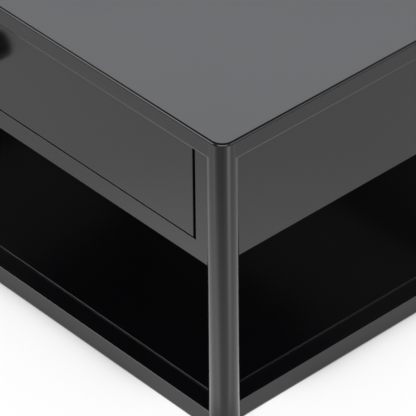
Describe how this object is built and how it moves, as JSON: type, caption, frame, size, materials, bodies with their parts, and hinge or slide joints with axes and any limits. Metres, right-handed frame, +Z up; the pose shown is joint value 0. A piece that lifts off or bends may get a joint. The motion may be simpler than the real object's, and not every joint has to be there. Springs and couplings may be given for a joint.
{
  "type": "side table with drawer",
  "caption": "Low rectangular side table of black painted steel tube with an inset drawer on telescopic runners under the sheet top and an open shelf just above the floor.",
  "frame": {"origin": "on the floor, at the middle of the whole outline with the knob", "axes": "+Z up, -Y towards the user, the way the drawer opens, +X to the right of a person who faces the drawer"},
  "size_m": [0.84, 0.622, 0.422],
  "materials": {
    "frame_paint": "satin black powder coat on steel tube",
    "housing_paint": "satin black powder coat on sheet steel",
    "surface_paint": "satin black powder coat on the top and shelf sheets",
    "drawer_paint": "satin black powder coat on folded sheet steel",
    "knob_paint": "matt black coat on a turned knob",
    "runner_zinc": "bright zinc plate on rolled steel",
    "ball_steel": "polished bearing steel",
    "fastener_zinc": "zinc plate",
    "glide_plastic": "black moulded plastic",
    "buffer_rubber": "black rubber"
  },
  "bodies": {
    "frame": {"back_panel": "housing_paint", "bottom_rail_back": "frame_paint", "bottom_rail_front": "frame_paint", "bottom_rail_left": "frame_paint", "bottom_rail_right": "frame_paint", "carrier_screws": "fastener_zinc", "front_bezel": "housing_paint", "glide_back_left": "glide_plastic", "glide_back_right": "glide_plastic", "glide_front_left": "glide_plastic", "glide_front_right": "glide_plastic", "housing_bolts": "fastener_zinc", "housing_floor": "housing_paint", "leg_back_left": "frame_paint", "leg_back_right": "frame_paint", "leg_front_left": "frame_paint", "leg_front_right": "frame_paint", "lower_shelf": "surface_paint", "rear_buffers": "buffer_rubber", "runner_carrier_left": "housing_paint", "runner_carrier_right": "housing_paint", "runner_outer_left": "runner_zinc", "runner_outer_right": "runner_zinc", "shelf_ledges": "frame_paint", "side_panel_left": "housing_paint", "side_panel_right": "housing_paint", "top_panel": "surface_paint", "top_rail_back": "frame_paint", "top_rail_front": "frame_paint", "top_rail_left": "frame_paint", "top_rail_right": "frame_paint"},
    "drawer": {"drawer_front": "drawer_paint", "drawer_inner_front": "drawer_paint", "drawer_side_left": "drawer_paint", "drawer_side_right": "drawer_paint", "drawer_back": "drawer_paint", "drawer_bottom": "drawer_paint", "front_screws": "fastener_zinc", "drawer_screws": "fastener_zinc", "runner_inner_left": "runner_zinc", "runner_inner_right": "runner_zinc", "knob": "knob_paint", "knob_screw": "fastener_zinc"},
    "runner_middle_left": {"runner_middle_left": "runner_zinc"},
    "runner_middle_right": {"runner_middle_right": "runner_zinc"},
    "ball_row_outer_left": {"ball_strips_outer_left": "runner_zinc", "balls_outer_left": "ball_steel"},
    "ball_row_inner_left": {"ball_strips_inner_left": "runner_zinc", "balls_inner_left": "ball_steel"},
    "ball_row_outer_right": {"ball_strips_outer_right": "runner_zinc", "balls_outer_right": "ball_steel"},
    "ball_row_inner_right": {"ball_strips_inner_right": "runner_zinc", "balls_inner_right": "ball_steel"}
  },
  "joints": [
    {"name": "drawer_slide", "type": "slide", "parent": "frame", "child": "drawer", "axis": [0, -1, 0], "range_m": [0, 0.5]},
    {"name": "runner_middle_left_slide", "type": "slide", "parent": "frame", "child": "runner_middle_left", "axis": [0, -1, 0], "range_m": [0, 0.252]},
    {"name": "runner_middle_right_slide", "type": "slide", "parent": "frame", "child": "runner_middle_right", "axis": [0, -1, 0], "range_m": [0, 0.252]},
    {"name": "ball_row_outer_left_slide", "type": "slide", "parent": "frame", "child": "ball_row_outer_left", "axis": [0, -1, 0], "range_m": [0, 0.127]},
    {"name": "ball_row_inner_left_slide", "type": "slide", "parent": "frame", "child": "ball_row_inner_left", "axis": [0, -1, 0], "range_m": [0, 0.377]},
    {"name": "ball_row_outer_right_slide", "type": "slide", "parent": "frame", "child": "ball_row_outer_right", "axis": [0, -1, 0], "range_m": [0, 0.127]},
    {"name": "ball_row_inner_right_slide", "type": "slide", "parent": "frame", "child": "ball_row_inner_right", "axis": [0, -1, 0], "range_m": [0, 0.377]}
  ],
  "couplings": [
    {"joint": "runner_middle_left_slide", "follows": "drawer_slide", "ratio": 0.5},
    {"joint": "runner_middle_right_slide", "follows": "drawer_slide", "ratio": 0.5},
    {"joint": "ball_row_outer_left_slide", "follows": "drawer_slide", "ratio": 0.25},
    {"joint": "ball_row_inner_left_slide", "follows": "drawer_slide", "ratio": 0.75},
    {"joint": "ball_row_outer_right_slide", "follows": "drawer_slide", "ratio": 0.25},
    {"joint": "ball_row_inner_right_slide", "follows": "drawer_slide", "ratio": 0.75}
  ]
}
